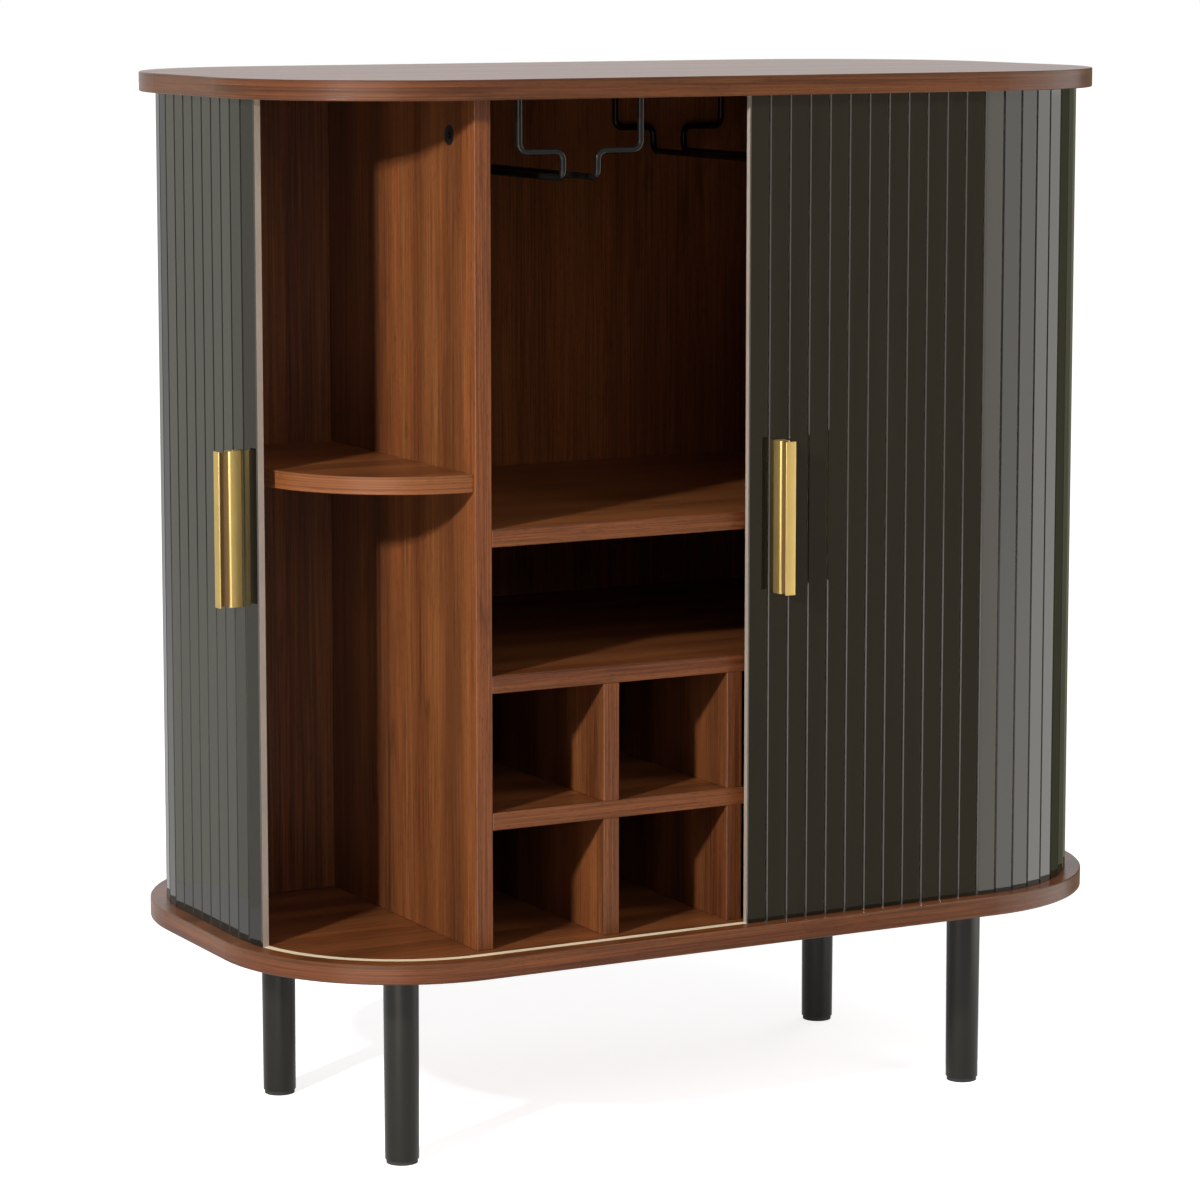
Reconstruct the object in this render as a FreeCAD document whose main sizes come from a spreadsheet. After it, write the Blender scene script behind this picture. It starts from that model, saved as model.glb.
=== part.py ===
"""Bar cabinet with two tambour doors, in millimetres.

The origin is on the floor under the middle of the cabinet. +X points right, +Y to the back, +Z up.
The left door stands open and the right door stands closed.
"""
import FreeCAD, Part
import math
import os
import re
import Sketcher

Vector = FreeCAD.Vector
UP = Vector(0, 0, 1)

doc = FreeCAD.newDocument("bar_cabinet")
sheet = doc.addObject("Spreadsheet::Sheet", "sizes")

# Driving dimensions, each set once
DRIVING = {
    # top and base boards
    "board_width": 900, "board_depth": 500, "board_corner_radius": 180, "board_thick": 18, "board_break": 0.8,
    "case_height": 762,
    # legs, their pads and bolts
    "leg_height": 187, "leg_top_diameter": 32.8, "leg_foot_diameter": 31.4, "leg_from_end": 145,
    "leg_from_front": 113,
    "pad_thick": 4, "pad_set_in": 1.2,
    "bolt_diameter": 8, "bolt_in_leg": 30, "bolt_in_base": 12, "bolt_end_room": 2, "hole_fit": 0.05,
    # boards of the inside
    "panel_thick": 16, "panel_break": 0.6, "case_inset": 35, "side_room": 200, "back_thick": 6,
    "side_back_from_rear": 126, "side_back_gap": 27,
    "cubby_height": 108.5, "cubby_columns": 4, "bottle_space": 116,
    # corner shelves
    "corner_shelf_top": 431, "corner_shelf_gap": 16,
    # glass racks
    "rack_from_divider": 86.5, "rack_post_spacing": 122, "rack_rail_spacing": 35, "rack_wire": 6,
    "rack_bend_radius": 8, "rack_step_drop": 47, "rack_rail_drop": 71, "rack_front_reach": 5, "rack_back_gap": 5,
    "rack_seat": 10,
    # tambour doors and their tracks
    "door_inset": 15, "slat_thick": 8, "slat_pitch": 21.1, "slat_gap": 0.6, "slat_break": 0.5,
    "slat_back_taper": 1.0, "slat_end_room": 0.3, "door_meeting_gap": 4,
    "door_travel": 487, "track_width": 8, "track_depth": 3, "track_set_in": 1,
    # handles and their screws
    "handle_length": 141, "handle_centre": 378, "handle_width": 10.5,
    "handle_block": 13.5, "handle_neck": 6.5, "handle_neck_width": 4, "handle_lip": 2.5,
    "handle_break": 0.4,
    "screw_diameter": 4, "screw_length": 16, "screw_head": 7, "screw_head_thick": 2,
    "screw_end_room": 1, "screw_spacing": 96,
    # cam locks in the dividers and screws under the base
    "cam_diameter": 18.5, "cam_depth": 12.5, "cam_below_top": 33, "cam_from_end": 50, "cam_slot": 2.4,
    "cam_slot_depth": 3, "cam_slot_length": 11,
    "base_screw_diameter": 5, "base_screw_length": 50, "base_screw_head": 10,
    "base_screw_head_height": 4, "base_screw_from_end": 65,
    # a tool's run past the face that it cuts
    "overrun": 1,
}

# Dimensions that follow from the driving ones
DERIVED = {
    "base_under": "leg_height + pad_thick",
    "base_top": "base_under + board_thick",
    "top_under": "base_top + case_height",
    "leg_x": "board_width / 2 - leg_from_end",
    "leg_y": "board_depth / 2 - leg_from_front",
    "divider_depth": "board_depth - 2 * case_inset",
    "bay_width": "board_width - 2 * side_room",
    "case_front": "-divider_depth / 2",
    "case_back": "divider_depth / 2",
    "bay_half": "bay_width / 2",
    "divider_outer": "bay_half + panel_thick",
    "back_front": "case_back - back_thick",
    "side_back_front": "case_back - side_back_from_rear",
    "cubby_width": "(bay_width - (cubby_columns - 1) * panel_thick) / cubby_columns",
    "cubby_shelf_under": "base_top + cubby_height",
    "cubby_shelf_top": "cubby_shelf_under + panel_thick",
    "bottle_shelf_under": "cubby_shelf_top + cubby_height",
    "bottle_shelf_top": "bottle_shelf_under + panel_thick",
    "serving_shelf_under": "bottle_shelf_top + bottle_space",
    "serving_shelf_top": "serving_shelf_under + panel_thick",
    "corner_shelf_under": "base_top + corner_shelf_top - panel_thick",
    "corner_shelf_inset": "door_inset + slat_thick + corner_shelf_gap",
    "door_half_width": "board_width / 2 - door_inset",
    "door_half_depth": "board_depth / 2 - door_inset",
    "door_corner_radius": "board_corner_radius - door_inset",
    "side_back_width": "door_half_width - slat_thick - side_back_gap - divider_outer",
    "slat_width": "slat_pitch - slat_gap",
    "slat_foot": "base_top + slat_end_room",
    "slat_height": "case_height - 2 * slat_end_room",
    "track_outer": "door_inset + track_set_in",
    "track_inner": "track_outer + track_width",
    "rack_middle": "bay_half - rack_from_divider",
    "rack_front": "case_front - rack_front_reach",
    "rack_back": "back_front - rack_back_gap",
    "cam_y": "divider_depth / 2 - cam_from_end",
    "cam_z": "top_under - cam_below_top",
    "base_screw_y": "divider_depth / 2 - base_screw_from_end",
}

# Slats that keep one shape together over the whole travel, counted from the leading edge
SLAT_GROUP_COUNTS = [2, 6, 2, 2, 2, 6, 2, 2, 2, 4, 2, 1]
# How many slats lie between the leading edge and the handle's slat
COUNT_BEFORE_HANDLE = 1


def fill_sheet():
    row = 1
    for alias, number in DRIVING.items():
        sheet.set(f"A{row}", alias)
        sheet.set(f"B{row}", str(number))
        sheet.setAlias(f"B{row}", alias)
        row += 1
    for alias, formula in DERIVED.items():
        sheet.set(f"A{row}", alias)
        sheet.set(f"B{row}", "=" + formula)
        sheet.setAlias(f"B{row}", alias)
        row += 1
    doc.recompute()


def size(alias):
    """The present value of a cell."""
    return float(getattr(sheet, alias))


def bound(formula):
    """A formula in the sheet's words, as an expression that other objects can use."""
    return re.sub(r"[a-z][a-z_]*", lambda word: "sizes." + word.group(), formula)


def bind(thing, **formulas):
    for name, formula in formulas.items():
        thing.setExpression(name, bound(formula))


def place(thing, x="0", y="0", z="0"):
    """Ties an object's place to the sheet."""
    for axis, formula in zip("xyz", (x, y, z)):
        thing.setExpression(f".Placement.Base.{axis}", bound(formula))


fill_sheet()


# Sketches

def new_body(name):
    body = doc.addObject("PartDesign::Body", name)
    body.Label = name
    return body


def attach(thing, body):
    """Sets a sketch or a primitive on its body's XY plane."""
    plane = next(item for item in body.Origin.OriginFeatures if item.Role == "XY_Plane")
    thing.AttachmentSupport = [(plane, "")]
    thing.MapMode = "FlatFace"


def new_sketch(body, name):
    sketch = body.newObject("Sketcher::SketchObject", name)
    attach(sketch, body)
    return sketch


def closed_lines(sketch, points):
    """A closed outline of straight lines; returns the index of its first line."""
    first = sketch.GeometryCount
    count = len(points)
    for index in range(count):
        start = Vector(*points[index], 0)
        end = Vector(*points[(index + 1) % count], 0)
        sketch.addGeometry(Part.LineSegment(start, end), False)
    for index in range(count):
        following = first + (index + 1) % count
        sketch.addConstraint(Sketcher.Constraint("Coincident", first + index, 2, following, 1))
    return first


def dimension(sketch, constraint, formula):
    index = sketch.addConstraint(constraint)
    sketch.setExpression(f"Constraints[{index}]", bound(formula))


def rectangle(sketch, width, depth):
    """A rectangle from the sketch's origin, driven by two formulas; it starts as a unit square."""
    first = closed_lines(sketch, [(0, 0), (1, 0), (1, 1), (0, 1)])
    sketch.addConstraint(Sketcher.Constraint("Horizontal", first))
    sketch.addConstraint(Sketcher.Constraint("Vertical", first + 1))
    sketch.addConstraint(Sketcher.Constraint("Horizontal", first + 2))
    sketch.addConstraint(Sketcher.Constraint("Vertical", first + 3))
    sketch.addConstraint(Sketcher.Constraint("Coincident", first, 1, -1, 1))
    dimension(sketch, Sketcher.Constraint("DistanceX", first, 1, first, 2, 1), width)
    dimension(sketch, Sketcher.Constraint("DistanceY", first + 1, 1, first + 1, 2, 1), depth)


def rounded_rectangle(sketch, inset):
    """The boards' outline, moved in by a cell's value (or by nothing), centred on the origin."""
    less = size(inset) if inset else 0
    half_x = size("board_width") / 2 - less
    half_y = size("board_depth") / 2 - less
    corner = size("board_corner_radius") - less
    inner_x = half_x - corner
    inner_y = half_y - corner
    first = sketch.GeometryCount
    sides = [
        ((-inner_x, -half_y), (inner_x, -half_y)), ((half_x, -inner_y), (half_x, inner_y)),
        ((inner_x, half_y), (-inner_x, half_y)), ((-half_x, inner_y), (-half_x, -inner_y)),
    ]
    centres = [(inner_x, -inner_y), (inner_x, inner_y), (-inner_x, inner_y), (-inner_x, -inner_y)]
    quarter = math.pi / 2
    for turn, (side, centre) in enumerate(zip(sides, centres)):
        sketch.addGeometry(Part.LineSegment(Vector(*side[0], 0), Vector(*side[1], 0)), False)
        circle = Part.Circle(Vector(*centre, 0), UP, corner)
        start = (turn - 1) * quarter
        sketch.addGeometry(Part.ArcOfCircle(circle, start, start + quarter), False)
    for turn in range(4):
        line = first + 2 * turn
        following = first + (2 * turn + 2) % 8
        sketch.addConstraint(Sketcher.Constraint("Tangent", line, 2, line + 1, 1))
        sketch.addConstraint(Sketcher.Constraint("Tangent", line + 1, 2, following, 1))
        sketch.addConstraint(Sketcher.Constraint("Horizontal" if turn % 2 == 0 else "Vertical", line))
    for turn in range(1, 4):
        sketch.addConstraint(Sketcher.Constraint("Equal", first + 1, first + 2 * turn + 1))
    minus = f" - {inset}" if inset else ""
    dimension(sketch, Sketcher.Constraint("Radius", first + 1, corner), "board_corner_radius" + minus)
    dimension(sketch, Sketcher.Constraint("DistanceX", -1, 1, first + 1, 3, inner_x),
              "board_width / 2 - board_corner_radius")
    dimension(sketch, Sketcher.Constraint("DistanceX", first + 5, 3, -1, 1, inner_x),
              "board_width / 2 - board_corner_radius")
    dimension(sketch, Sketcher.Constraint("DistanceY", -1, 1, first + 3, 3, inner_y),
              "board_depth / 2 - board_corner_radius")
    dimension(sketch, Sketcher.Constraint("DistanceY", first + 1, 3, -1, 1, inner_y),
              "board_depth / 2 - board_corner_radius")


def pad(body, sketch, length):
    feature = body.newObject("PartDesign::Pad", f"{body.Name}_pad")
    feature.Profile = sketch
    bind(feature, Length=length)
    doc.recompute()
    return feature


def break_edges(body, feature, amount, wanted=None):
    """Takes the sharpness off the edges that the test accepts, or off all of them."""
    names = []
    for index, edge in enumerate(feature.Shape.Edges, 1):
        if wanted is None or wanted(edge):
            names.append(f"Edge{index}")
    chamfer = body.newObject("PartDesign::Chamfer", f"{body.Name}_edges")
    chamfer.Base = (feature, names)
    bind(chamfer, Size=amount)
    doc.recompute()
    return chamfer


def hole(body, label, radius, depth, x, y, z):
    """A round hole along Z from z upwards, cut with a subtractive cylinder."""
    cutter = body.newObject("PartDesign::SubtractiveCylinder", f"{body.Name}_{label}")
    bind(cutter, Radius=radius, Height=depth)
    attach(cutter, body)
    for axis, formula in zip("xyz", (x, y, z)):
        cutter.setExpression(f".AttachmentOffset.Base.{axis}", bound(formula))
    return cutter


# Plain solids and groups of them

def cylinder(name, radius, height, x, y, z, axis=UP):
    solid = doc.addObject("Part::Cylinder", name)
    bind(solid, Radius=radius, Height=height)
    solid.Placement = FreeCAD.Placement(Vector(), FreeCAD.Rotation(UP, axis))
    place(solid, x, y, z)
    return solid


def group(name, members):
    compound = doc.addObject("Part::Compound", name)
    compound.Label = name
    compound.Links = members
    return compound


# Top and base boards

LEG_SIGNS = {"front_left": (-1, -1), "front_right": (1, -1), "back_left": (-1, 1), "back_right": (1, 1)}


def board(name, z, groove_from_top):
    """A rounded board with a groove for its track strip in one face."""
    body = new_body(name)
    outline = new_sketch(body, f"{name}_outline")
    rounded_rectangle(outline, None)
    slab = pad(body, outline, "board_thick")
    break_edges(body, slab, "board_break", lambda edge: edge.BoundBox.ZLength < size("board_break"))
    ring = new_sketch(body, f"{name}_track_outline")
    rounded_rectangle(ring, "track_outer")
    rounded_rectangle(ring, "track_inner")
    groove = body.newObject("PartDesign::Pocket", f"{name}_groove")
    groove.Profile = ring
    bind(groove, Length="track_depth")
    if groove_from_top:
        ring.setExpression(".AttachmentOffset.Base.z", bound("board_thick"))
    groove.Reversed = not groove_from_top
    place(body, z=z)
    doc.recompute()
    return body


def top_board():
    body = board("top_board", "top_under", False)
    for number, (x, y) in enumerate(rack_post_places()):
        hole(body, f"rack_hole_{number}", "rack_wire / 2 + hole_fit", "rack_seat + hole_fit", x, y, "0")


def base_board():
    body = board("base_board", "base_under", True)
    for corner, (side_x, side_y) in LEG_SIGNS.items():
        hole(body, f"bolt_hole_{corner}", "bolt_diameter / 2 + hole_fit", "bolt_in_base + bolt_end_room",
             f"{side_x} * leg_x", f"{side_y} * leg_y", "0")
    for number, (x, y) in enumerate(base_screw_places()):
        hole(body, f"screw_hole_{number}", "base_screw_diameter / 2 + hole_fit",
             "board_thick + overrun", x, y, "0")
        hole(body, f"screw_sink_{number}", "base_screw_head / 2 + hole_fit",
             "base_screw_head_height", x, y, "0")


def track(name, z):
    """A closed strip that lies flush in a board's groove."""
    body = new_body(name)
    outline = new_sketch(body, f"{name}_outline")
    rounded_rectangle(outline, "track_outer")
    rounded_rectangle(outline, "track_inner")
    pad(body, outline, "track_depth")
    place(body, z=z)


# Legs

def legs():
    bolts = []
    pads = []
    for corner, (side_x, side_y) in LEG_SIGNS.items():
        x = f"{side_x} * leg_x"
        y = f"{side_y} * leg_y"
        body = new_body(f"leg_{corner}")
        cone = body.newObject("PartDesign::AdditiveCone", f"leg_{corner}_cone")
        bind(cone, Radius1="leg_foot_diameter / 2", Radius2="leg_top_diameter / 2", Height="leg_height")
        hole(body, "bore", "bolt_diameter / 2 + hole_fit", "bolt_in_leg + bolt_end_room + overrun",
             "0", "0", "leg_height - bolt_in_leg - bolt_end_room")
        place(body, x, y, "pad_thick")
        pads.append(cylinder(f"pad_{corner}", "leg_foot_diameter / 2 - pad_set_in", "pad_thick", x, y, "0"))
        bolts.append(cylinder(f"bolt_{corner}", "bolt_diameter / 2", "bolt_in_leg + bolt_in_base",
                              x, y, "base_under - bolt_in_leg"))
    group("foot_pads", pads)
    group("leg_bolts", bolts)


# Flat boards of the inside

def panel(name, x, y, z, amount="panel_break"):
    """A board with its low and high corner given as pairs of formulas."""
    body = new_body(name)
    sketch = new_sketch(body, f"{name}_outline")
    spans = [f"({high}) - ({low})" for low, high in (x, y, z)]
    rectangle(sketch, spans[0], spans[1])
    slab = pad(body, sketch, spans[2])
    if amount:
        break_edges(body, slab, amount)
    place(body, x[0], y[0], z[0])
    return body


def base_screw_places():
    places = []
    for side in (-1, 1):
        for end in (-1, 1):
            places.append((f"{side} * (bay_half + panel_thick / 2)", f"{end} * base_screw_y"))
    return places


def cam_places():
    return [(side, end) for side in (-1, 1) for end in (-1, 1)]


def dividers():
    for name, side in (("left", -1), ("right", 1)):
        x = ("-divider_outer", "-bay_half") if side < 0 else ("bay_half", "divider_outer")
        body = panel(f"divider_{name}", x, ("case_front", "case_back"), ("base_top", "top_under"))
        for end in (-1, 1):
            hole(body, f"screw_hole_{'front' if end < 0 else 'back'}",
                 "base_screw_diameter / 2 + hole_fit",
                 "base_screw_length - board_thick + hole_fit", "panel_thick / 2",
                 f"divider_depth / 2 + {end} * base_screw_y", "0")
        for end in (-1, 1):
            pocket = hole(body, f"cam_pocket_{'front' if end < 0 else 'back'}",
                          "cam_diameter / 2 + hole_fit", "cam_depth",
                          "0" if side < 0 else "panel_thick",
                          f"divider_depth / 2 + {end} * cam_y", "case_height - cam_below_top")
            pocket.AttachmentOffset = FreeCAD.Placement(
                pocket.AttachmentOffset.Base, FreeCAD.Rotation(UP, Vector(-side, 0, 0)))


def cam_locks():
    """Round cams, flush in the dividers' outer faces, each with a cross for the screwdriver."""
    cams = []
    for side, end in cam_places():
        word = f"cam_{'left' if side < 0 else 'right'}_{'front' if end < 0 else 'back'}"
        face = f"{side} * divider_outer"
        y = f"{end} * cam_y"
        disc = cylinder(f"{word}_disc", "cam_diameter / 2", "cam_depth", face, y, "cam_z",
                        Vector(-side, 0, 0))
        slots = []
        for way in ("upright", "level"):
            slot = doc.addObject("Part::Box", f"{word}_slot_{way}")
            tall = way == "upright"
            bind(slot, Length="cam_slot_depth + overrun",
                 Width="cam_slot" if tall else "cam_slot_length",
                 Height="cam_slot_length" if tall else "cam_slot")
            x = f"{face} - overrun" if side < 0 else f"{face} - cam_slot_depth"
            half_y = "cam_slot / 2" if tall else "cam_slot_length / 2"
            half_z = "cam_slot_length / 2" if tall else "cam_slot / 2"
            place(slot, x, f"{y} - {half_y}", f"cam_z - {half_z}")
            slots.append(slot)
        cross = doc.addObject("Part::MultiFuse", f"{word}_cross")
        cross.Shapes = slots
        cut = doc.addObject("Part::Cut", word)
        cut.Base = disc
        cut.Tool = cross
        cams.append(cut)
    group("cam_locks", cams)


def base_screws():
    """Long screws with a flat head, from under the base up into the dividers."""
    screws = []
    for number, (x, y) in enumerate(base_screw_places()):
        shank = cylinder(f"base_shank_{number}", "base_screw_diameter / 2", "base_screw_length",
                         x, y, "base_under")
        head = cylinder(f"base_head_{number}", "base_screw_head / 2", "base_screw_head_height",
                        x, y, "base_under")
        screw = doc.addObject("Part::MultiFuse", f"base_screw_{number}")
        screw.Shapes = [shank, head]
        screws.append(screw)
    group("base_screws", screws)


def inside_boards():
    bay = ("-bay_half", "bay_half")
    depth = ("case_front", "back_front")
    panel("back_panel", bay, ("back_front", "case_back"), ("base_top", "top_under"), None)
    panel("serving_shelf", bay, depth, ("serving_shelf_under", "serving_shelf_top"))
    panel("bottle_shelf", bay, depth, ("bottle_shelf_under", "bottle_shelf_top"))
    panel("cubby_shelf", bay, depth, ("cubby_shelf_under", "cubby_shelf_top"))
    rows = {"lower": ("base_top", "cubby_shelf_under"), "upper": ("cubby_shelf_top", "bottle_shelf_under")}
    for row, z in rows.items():
        for number, column in enumerate(("left", "middle", "right"), 1):
            low = f"-bay_half + {number} * cubby_width + {number - 1} * panel_thick"
            panel(f"cubby_upright_{row}_{column}", (low, f"{low} + panel_thick"), depth, z)
    for name, side in (("left", -1), ("right", 1)):
        near = f"{side} * divider_outer"
        far = f"{side} * (divider_outer + side_back_width)"
        x = (far, near) if side < 0 else (near, far)
        panel(f"side_back_{name}", x, ("side_back_front", "side_back_front + panel_thick"),
              ("base_top", "top_under"))


def trim(body, label, x, y):
    """Cuts away all of a shelf that lies beyond x and y."""
    cutter = body.newObject("PartDesign::SubtractiveBox", f"{body.Name}_{label}")
    bind(cutter, Length="board_width", Width="board_depth", Height="panel_thick + 2 * overrun")
    attach(cutter, body)
    for axis, formula in zip("xyz", (x, y, "-overrun")):
        cutter.setExpression(f".AttachmentOffset.Base.{axis}", bound(formula))
    doc.recompute()
    return cutter


def corner_shelf(name, side):
    """A shelf that follows the curtain's corner, against the divider and the side bay's back wall."""
    body = new_body(f"corner_shelf_{name}")
    outline = new_sketch(body, f"corner_shelf_{name}_outline")
    rounded_rectangle(outline, "corner_shelf_inset")
    pad(body, outline, "panel_thick")
    trim(body, "inner_cut", "-divider_outer" if side < 0 else "divider_outer - board_width",
         "-board_depth / 2")
    shelf = trim(body, "rear_cut", "-board_width / 2", "side_back_front")
    break_edges(body, shelf, "panel_break")
    place(body, z="corner_shelf_under")


# Glass racks

WIRES = {"glass_wire_left_outer": (-1, 1), "glass_wire_left_inner": (-1, -1),
         "glass_wire_right_inner": (1, -1), "glass_wire_right_outer": (1, 1)}


def rack_post_places():
    places = []
    for side, hand in WIRES.values():
        for end in ("rack_front", "rack_back"):
            places.append((f"{side} * (rack_middle + {hand} * rack_post_spacing / 2)", end))
    return places


def bent_wire(points, bend, radius):
    """A round wire along straight runs joined by arcs of one bend radius."""
    edges = []
    start = points[0]
    for before, corner, after in zip(points, points[1:], points[2:]):
        inward = (before - corner).normalize()
        onward = (after - corner).normalize()
        first = corner + inward * bend
        last = corner + onward * bend
        centre = first + onward * bend
        middle = centre + (corner - centre).normalize() * bend
        edges.append(Part.LineSegment(start, first).toShape())
        edges.append(Part.Arc(first, middle, last).toShape())
        start = last
    edges.append(Part.LineSegment(start, points[-1]).toShape())
    spine = Part.Wire(edges)
    circle = Part.Circle(points[0], points[1] - points[0], radius)
    return spine.makePipeShell([Part.Wire(circle.toShape())], True, False)


def glass_racks():
    ceiling = size("top_under")
    step = ceiling - size("rack_step_drop")
    rail = ceiling - size("rack_rail_drop")
    front = size("rack_front")
    back = size("rack_back")
    for name, (side, hand) in WIRES.items():
        post = side * (size("rack_middle") + hand * size("rack_post_spacing") / 2)
        run = side * (size("rack_middle") + hand * size("rack_rail_spacing") / 2)
        seat = ceiling + size("rack_seat")
        points = [
            Vector(post, front, seat), Vector(post, front, step), Vector(run, front, step),
            Vector(run, front, rail), Vector(run, back, rail),
            Vector(run, back, step), Vector(post, back, step), Vector(post, back, seat),
        ]
        wire = doc.addObject("Part::Feature", name)
        wire.Label = name
        wire.Shape = bent_wire(points, size("rack_bend_radius"), size("rack_wire") / 2)


# Tambour doors

def track_point(distance):
    """The point on the slats' outer face line, this far round from the middle of the front."""
    straight = size("door_half_width") - size("door_corner_radius")
    flank = size("door_half_depth") - size("door_corner_radius")
    corner = size("door_corner_radius")
    arc = math.pi / 2 * corner
    if distance < straight:
        return Vector(distance, -size("door_half_depth"), 0)
    distance -= straight
    if distance < arc:
        angle = distance / corner
        return Vector(straight + corner * math.sin(angle), -flank - corner * math.cos(angle), 0)
    distance -= arc
    if distance < 2 * flank:
        return Vector(size("door_half_width"), distance - flank, 0)
    distance -= 2 * flank
    if distance < arc:
        angle = distance / corner
        return Vector(straight + corner * math.cos(angle), flank + corner * math.sin(angle), 0)
    return Vector(straight + arc - distance, size("door_half_depth"), 0)


def slat_placement(number, side):
    """Where a slat stands: its two outer edges lie on the track line."""
    travel = size("door_travel") if side < 0 else 0
    start = size("door_meeting_gap") / 2 + travel + number * size("slat_pitch")
    near = track_point(start)
    far = track_point(start + size("slat_pitch"))
    along = far - near
    middle = (near + far) / 2
    turn = math.degrees(math.atan2(along.y, side * along.x)) if side > 0 else \
        math.degrees(math.atan2(-along.y, along.x))
    place_at = Vector(side * middle.x, middle.y, size("slat_foot"))
    return FreeCAD.Placement(place_at, FreeCAD.Rotation(UP, turn))


def slat_solid():
    """One slat upright at the origin: its outer face looks along -Y and has broken edges."""
    half = size("slat_width") / 2
    broken = size("slat_break")
    back = half - size("slat_back_taper")
    thick = size("slat_thick")
    outline = [(-half + broken, 0), (half - broken, 0), (half, broken), (back, thick),
               (-back, thick), (-half, broken)]
    corners = [Vector(x, y, 0) for x, y in outline]
    face = Part.Face(Part.makePolygon(corners + corners[:1]))
    return face.extrude(UP * size("slat_height"))


def screw_heights():
    middle = size("base_top") + size("handle_centre")
    return [middle + side * size("screw_spacing") / 2 for side in (-1, 1)]


def pierced(slat):
    """The slat that carries the handle, with a hole and a sink for each of its screws."""
    inward = Vector(0, 1, 0)
    sink_floor = size("slat_thick") - size("screw_head_thick") - size("hole_fit")
    for height in screw_heights():
        middle = height - size("slat_foot")
        drill = Part.makeCylinder(size("screw_diameter") / 2 + size("hole_fit"),
                                  size("slat_thick") + 2 * size("overrun"),
                                  Vector(0, -size("overrun"), middle), inward)
        sink = Part.makeCylinder(size("screw_head") / 2 + size("hole_fit"),
                                 size("screw_head_thick") + size("overrun"),
                                 Vector(0, sink_floor, middle), inward)
        slat = slat.cut(drill).cut(sink)
    return slat


def doors():
    for name, side in (("left", -1), ("right", 1)):
        first = 0
        for count in SLAT_GROUP_COUNTS:
            end = first + count
            slats = []
            for number in range(first, end):
                slat = slat_solid()
                if number == COUNT_BEFORE_HANDLE:
                    slat = pierced(slat)
                slat.Placement = slat_placement(number, side)
                slats.append(slat)
            node = f"{name}_slats_{first + 1:02d}_to_{end:02d}"
            door = doc.addObject("Part::Feature", node)
            door.Label = node
            door.Shape = Part.makeCompound(slats)
            first = end


# Handles

def handle(name, side):
    """A drawn brass section: a block on the slat, a neck, and a lip to pull on."""
    body = new_body(f"handle_{name}")
    lip_face = "handle_block + handle_neck + handle_lip"
    slabs = {
        "block": ("handle_width", "handle_block", "handle_block"),
        "neck": ("handle_neck_width", "handle_neck", "handle_block + handle_neck"),
        "lip": ("handle_width", "handle_lip", lip_face),
    }
    for label, (width, depth, face) in slabs.items():
        bar = body.newObject("PartDesign::AdditiveBox", f"handle_{name}_{label}")
        bind(bar, Length=width, Width=depth, Height="handle_length")
        attach(bar, body)
        bar.setExpression(".AttachmentOffset.Base.x", bound(f"-({width}) / 2"))
        bar.setExpression(".AttachmentOffset.Base.y", bound(f"-({face})"))
        doc.recompute()
    break_edges(body, bar, "handle_break")
    for number, end in enumerate((-1, 1)):
        thread = hole(body, f"thread_{number}", "screw_diameter / 2 + hole_fit",
                      "screw_length - slat_thick + screw_end_room + overrun", "0", "overrun",
                      f"handle_length / 2 + {end} * screw_spacing / 2")
        thread.AttachmentOffset = FreeCAD.Placement(
            thread.AttachmentOffset.Base, FreeCAD.Rotation(UP, Vector(0, -1, 0)))
    seat = slat_placement(COUNT_BEFORE_HANDLE, side)
    foot = size("base_top") + size("handle_centre") - size("handle_length") / 2
    seat.Base.z = foot
    body.Placement = seat


def handle_screws(name, side):
    """Screws from inside, flush in the slat's back, into the handle's block."""
    seat = slat_placement(COUNT_BEFORE_HANDLE, side)
    screws = []
    for height in screw_heights():
        back = Vector(0, size("slat_thick"), height - size("slat_foot"))
        outward = Vector(0, -1, 0)
        shank = Part.makeCylinder(size("screw_diameter") / 2, size("screw_length"), back, outward)
        head = Part.makeCylinder(size("screw_head") / 2, size("screw_head_thick"), back, outward)
        screw = shank.fuse(head)
        screw.Placement = seat
        screws.append(screw)
    node = doc.addObject("Part::Feature", f"handle_screws_{name}")
    node.Label = f"handle_screws_{name}"
    node.Shape = Part.makeCompound(screws)


# The whole cabinet

def build():
    base_board()
    top_board()
    track("lower_track", "base_top - track_depth")
    track("upper_track", "top_under")
    legs()
    dividers()
    inside_boards()
    cam_locks()
    base_screws()
    glass_racks()
    doors()
    for name, side in (("left", -1), ("right", 1)):
        corner_shelf(name, side)
        handle(name, side)
        handle_screws(name, side)
    doc.recompute()


def sub_parts():
    """Every object that isn't used up by another one."""
    kinds = ("PartDesign::Body", "Part::Compound", "Part::Feature")
    return [item for item in doc.Objects if item.TypeId in kinds]


def check():
    for item in doc.Objects:
        state = [word for word in item.State if word in ("Invalid", "Error")]
        if state:
            raise RuntimeError(f"{item.Name} is {state}")
    for item in sub_parts():
        if item.Shape.isNull() or not item.Shape.isValid() or not item.Shape.Solids:
            raise RuntimeError(f"{item.Label} has no valid shape")


def export():
    os.makedirs("parts", exist_ok=True)
    for item in sub_parts():
        item.Shape.exportStep(f"parts/{item.Label}.step")
        print(item.Label, len(item.Shape.Solids), round(item.Shape.Volume, 1))


build()
check()
export()
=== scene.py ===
import math

import bpy
from mathutils import Matrix, Vector


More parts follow.
